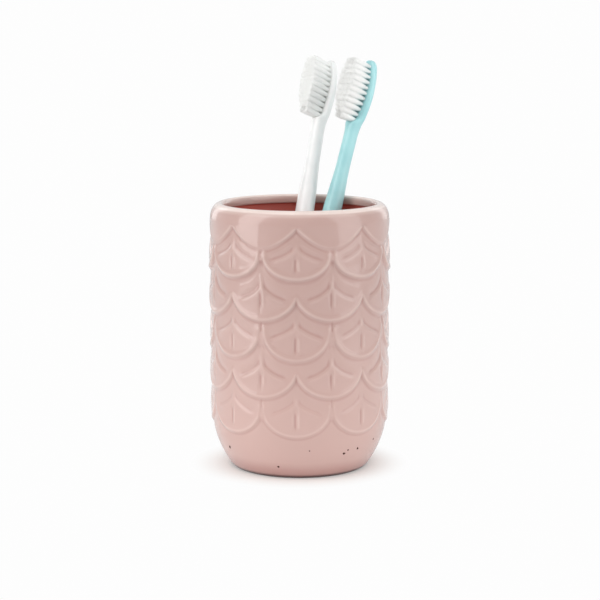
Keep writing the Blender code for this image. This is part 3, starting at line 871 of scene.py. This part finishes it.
def makeBristles(name, kind, material, seed):
    random = np.random.default_rng(seed)
    place = brushPlace(kind)
    face = brush["backOfHead"] - 2.0 * brush["headDepth"]
    full = bristles["length"] + bristles["sink"]
    uneven = bristles["uneven"] / full
    strand = bristles["strandRadius"]
    points = []
    faces = []
    alongStrand = []
    gapShade = []

    def addTube(centres, radii, sides, tuftSide=None):  # tuftSide is the side of its tuft that it is on
        base = len(points)
        for (across, share, up), radius in zip(centres, radii):
            for side in range(sides):
                turn = 2.0 * math.pi * (side + 0.5) / sides
                depth = face + bristles["sink"] - full * share
                corner = Vector((across + radius * math.cos(turn), depth, up + radius * math.sin(turn)))
                points.append(place @ corner)
                alongStrand.append(share)
                # painted shade on the sides that face the neighbouring tufts, fading up the tuft
                facing = abs(math.sin(turn if tuftSide is None else tuftSide)) ** bristles["gapPower"]
                gapShade.append(facing * (1.0 - ease(0.0, 1.0, share / bristles["gapShare"])))
        for ring in range(len(centres) - 1):
            faces.extend(ringFaces(base + (ring + 1) * sides, base + ring * sides, sides))
        faces.append(tuple(range(len(points) - sides, len(points))))

    for across, fromNose, tall in tuftPlaces():
        up = kind["length"] - fromNose
        trim = random.uniform(-0.5, 0.5) * uneven + tall - 1.0
        shares = (-trim, *bristles["coreShares"])
        radii = [tuftRadius(share) for share in shares] + [0.8 * bristles["tipRadius"]]
        core = [(across, share + trim, up) for share in (*shares, bristles["coreEnd"])]
        addTube(core, radii, bristles["coreSides"])
        turned = random.uniform(0.0, math.pi)
        for index in range(bristles["ribs"]):
            lean = random.uniform(-bristles["ribLean"], bristles["ribLean"])
            turn = turned + 2.0 * math.pi * index / bristles["ribs"] + lean
            top = 1.0 + trim + random.uniform(-1.0, 0.6) * uneven
            line = []
            for share in (*bristles["ribShares"], top):
                out = tuftRadius(share) - bristles["ribSink"] * strand
                line.append((across + out * math.cos(turn), share, up + out * math.sin(turn)))
            radii = [strand] * len(bristles["ribShares"]) + [0.75 * strand]
            addTube(line, radii, bristles["strandSides"], turn)
        for index in range(bristles["ends"]):
            share = math.sqrt((index + 0.5) / bristles["ends"])
            out = (bristles["tipRadius"] - bristles["endInset"]) * share
            turn = turned + index * bristles["goldenTurn"]
            top = 1.0 + trim + random.uniform(-1.0, 1.0) * uneven
            aside, over = across + out * math.cos(turn), up + out * math.sin(turn)
            line = [(aside, share, over) for share in (bristles["endShare"], top)]
            addTube(line, (1.15 * strand, 0.9 * strand), bristles["strandSides"])
    piece = meshPiece(name + "Bristles", points, faces, material, name + "_brush")
    pointValues(piece, "alongStrand", alongStrand)
    pointValues(piece, "gapShade", gapShade)
    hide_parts(name + "_brush_bristles")
    print(name, "bristles:", len(tuftPlaces()), "tufts,", len(piece.data.polygons), "faces")


def bristleMaterial(name, kind):
    material, tree, shader = newMaterial(name, bristles["colour"], bristles["roughness"])
    cloud = addNoise(tree, addNode(tree, "ShaderNodeTexCoord"), {"Scale": 1200.0, "Detail": 1.0})
    total = addNode(tree, "ShaderNodeMath", {"operation": "MULTIPLY_ADD"}, {1: 0.3})
    tree.links.new(cloud, total.inputs[0])
    tree.links.new(addPointValue(tree, "alongStrand"), total.inputs[2])
    # darker towards the roots: painted shade among the tufts
    root = tuple(kind["bristleTone"] * value for value in bristles["rootShadeColour"])
    tip = tuple(kind["bristleTone"] * value for value in bristles["colour"])
    colour = addRamp(tree, [(0.10, root), (0.60, tip)], total.outputs["Value"])
    # painted shade between the tufts, tinted with the head's colour
    colour = addMix(tree, colour, kind["gapShadeTint"], addPointValue(tree, "gapShade"))
    tree.links.new(colour, shader.inputs["Base Color"])
    return material


# floor and light

whiteLight = (1.0, 1.0, 1.0, 1.0)

room = {
    "floor": (0.90, 0.90, 0.90),
    "floorHalf": 3.0,
    "floorRoughness": 0.7,
    "seenFloor": (0.655, 0.615, 0.585),     # how much of the real light the camera sees on the floor, tinted warm as painted pink bounce from the cup
    "seenGlow": 0.23,
    "shadowFade": (0.027, 0.047),           # distances over which the seen floor turns white
    "horizon": 0.40,
    "zenith": 0.43,
    "zenithFrom": 0.9,
    "sweep": 0.74,         # the lit backdrop behind the object
    "sweepFade": (0.10, 0.75),
    "white": 0.985,
    "aim": (0.0, 0.0, 0.06),                # what the lamps point at
}

# degrees from the front, distance, width and height, height over the floor, radiance;
# only the mirrored lamps show in the glaze
lamps = {
    "leftSoftbox": {"azimuth": -66.0, "distance": 0.46, "size": (0.280, 0.56), "lift": 0.28,
                    "radiance": 2.15, "mirrored": True},
    "topSoftbox": {"azimuth": -25.0, "distance": 0.60, "size": (1.80, 1.80), "lift": 1.64,
                   "radiance": 0.80, "mirrored": True},
    "leftKey": {"azimuth": -50.0, "distance": 1.80, "size": (1.00, 1.00), "lift": 0.66,
                "radiance": 0.92, "mirrored": False},
    "frontFill": {"azimuth": 8.0, "distance": 1.80, "size": (1.00, 1.00), "lift": 0.66,
                  "radiance": 1.00, "mirrored": False},
    "rightKey": {"azimuth": 82.0, "distance": 1.80, "size": (1.00, 1.00), "lift": 0.50,
                 "radiance": 1.45, "mirrored": False},
    "rightSoftbox": {"azimuth": 64.5, "distance": 0.46, "size": (0.330, 0.56), "lift": 0.28,
                     "radiance": 1.30, "mirrored": True},
    "leftRim": {"azimuth": -141.0, "distance": 1.40, "size": (0.40, 1.50), "lift": 0.20,
                "radiance": 1.05, "mirrored": True},
    "rightRim": {"azimuth": 141.0, "distance": 1.40, "size": (0.40, 1.50), "lift": 0.20,
                 "radiance": 0.80, "mirrored": True},
}


def makeFloor():
    half = room["floorHalf"]
    mesh = bpy.data.meshes.new("floor")
    corners = [(-half, -half, 0), (half, -half, 0), (half, half, 0), (-half, half, 0)]
    mesh.from_pydata(corners, [], [(0, 1, 2, 3)])
    floor = bpy.data.objects.new("floor", mesh)
    bpy.context.scene.collection.objects.link(floor)
    material, tree, shader = newMaterial("paleFloor", room["floor"], room["floorRoughness"])
    links = tree.links
    seen = addNode(tree, "ShaderNodeBsdfDiffuse", None, {"Color": (*room["seenFloor"], 1.0)})
    glow = addNode(tree, "ShaderNodeEmission", None, {"Color": whiteLight, "Strength": room["seenGlow"]})
    near = addNode(tree, "ShaderNodeAddShader")
    links.new(seen.outputs["BSDF"], near.inputs[0])
    links.new(glow.outputs["Emission"], near.inputs[1])
    far = addNode(tree, "ShaderNodeEmission", None, {"Color": whiteLight, "Strength": room["white"]})
    place = addNode(tree, "ShaderNodeTexCoord")
    distance = addNode(tree, "ShaderNodeVectorMath", {"operation": "LENGTH"})
    links.new(place.outputs["Object"], distance.inputs[0])
    start, end = room["shadowFade"]
    fade = addNode(tree, "ShaderNodeMapRange", {"interpolation_type": "SMOOTHSTEP"},
                   {"From Min": start, "From Max": end})
    links.new(distance.outputs["Value"], fade.inputs["Value"])
    both = addNode(tree, "ShaderNodeMixShader")
    links.new(fade.outputs["Result"], both.inputs["Fac"])
    links.new(near.outputs["Shader"], both.inputs[1])
    links.new(far.outputs["Emission"], both.inputs[2])
    path = addNode(tree, "ShaderNodeLightPath")
    final = addNode(tree, "ShaderNodeMixShader")
    links.new(path.outputs["Is Camera Ray"], final.inputs["Fac"])
    links.new(shader.outputs["BSDF"], final.inputs[1])
    links.new(both.outputs["Shader"], final.inputs[2])
    links.new(final.outputs["Shader"], tree.nodes["Material Output"].inputs["Surface"])
    mesh.materials.append(material)


def makeWorld():
    world = bpy.data.worlds.new("paleRoom")
    world.use_nodes = True
    tree = world.node_tree
    links = tree.links
    light = tree.nodes["Background"]
    light.inputs["Color"].default_value = whiteLight
    place = addNode(tree, "ShaderNodeTexCoord")
    parts = addNode(tree, "ShaderNodeSeparateXYZ")
    links.new(place.outputs["Generated"], parts.inputs["Vector"])
    levels = {"From Min": 0.0, "From Max": room["zenithFrom"],
              "To Min": room["horizon"], "To Max": room["zenith"]}
    level = addNode(tree, "ShaderNodeMapRange", None, levels)
    links.new(parts.outputs["Z"], level.inputs["Value"])
    start, end = room["sweepFade"]
    behind = addNode(tree, "ShaderNodeMapRange", {"interpolation_type": "SMOOTHSTEP"},
                     {"From Min": start, "From Max": end})
    links.new(parts.outputs["Y"], behind.inputs["Value"])
    lit = addNode(tree, "ShaderNodeMix", {"data_type": "FLOAT"})
    lit.inputs["B"].default_value = room["sweep"]
    links.new(behind.outputs["Result"], lit.inputs["Factor"])
    links.new(level.outputs["Result"], lit.inputs["A"])
    links.new(lit.outputs["Result"], light.inputs["Strength"])
    seen = addNode(tree, "ShaderNodeBackground", None, {"Color": whiteLight, "Strength": room["white"]})
    path = addNode(tree, "ShaderNodeLightPath")
    mixed = addNode(tree, "ShaderNodeMixShader")
    links.new(path.outputs["Is Camera Ray"], mixed.inputs["Fac"])
    links.new(light.outputs["Background"], mixed.inputs[1])
    links.new(seen.outputs["Background"], mixed.inputs[2])
    links.new(mixed.outputs["Shader"], tree.nodes["World Output"].inputs["Surface"])
    bpy.context.scene.world = world


def makeLamp(name, kind):
    wide, tall = kind["size"]
    data = bpy.data.lights.new(name, "AREA")
    data.shape = "RECTANGLE"
    data.size, data.size_y = wide, tall
    data.energy = kind["radiance"] * math.pi * wide * tall
    lamp = bpy.data.objects.new(name, data)
    side = math.radians(kind["azimuth"])
    lamp.location = (kind["distance"] * math.sin(side), -kind["distance"] * math.cos(side), kind["lift"])
    lamp.rotation_euler = (Vector(room["aim"]) - lamp.location).to_track_quat("-Z", "Y").to_euler()
    lamp.visible_camera = False
    lamp.visible_glossy = kind["mirrored"]
    bpy.context.scene.collection.objects.link(lamp)


makeCamera()
makeWorld()
makeFloor()
for name, kind in lamps.items():
    makeLamp(name, kind)
print("camera, floor and lamps ready")

makeTumbler(glazeMaterial())
makeSpecks(speckMaterial())
for seed, (name, kind) in enumerate(brushes.items(), start=3):
    makeHandle(name, kind, plasticMaterial(name + "Plastic", kind))
    makeBristles(name, kind, bristleMaterial(name + "Filament", kind), seed)
print("brushes ready")

bpy.context.scene.view_settings.view_transform = "Standard"
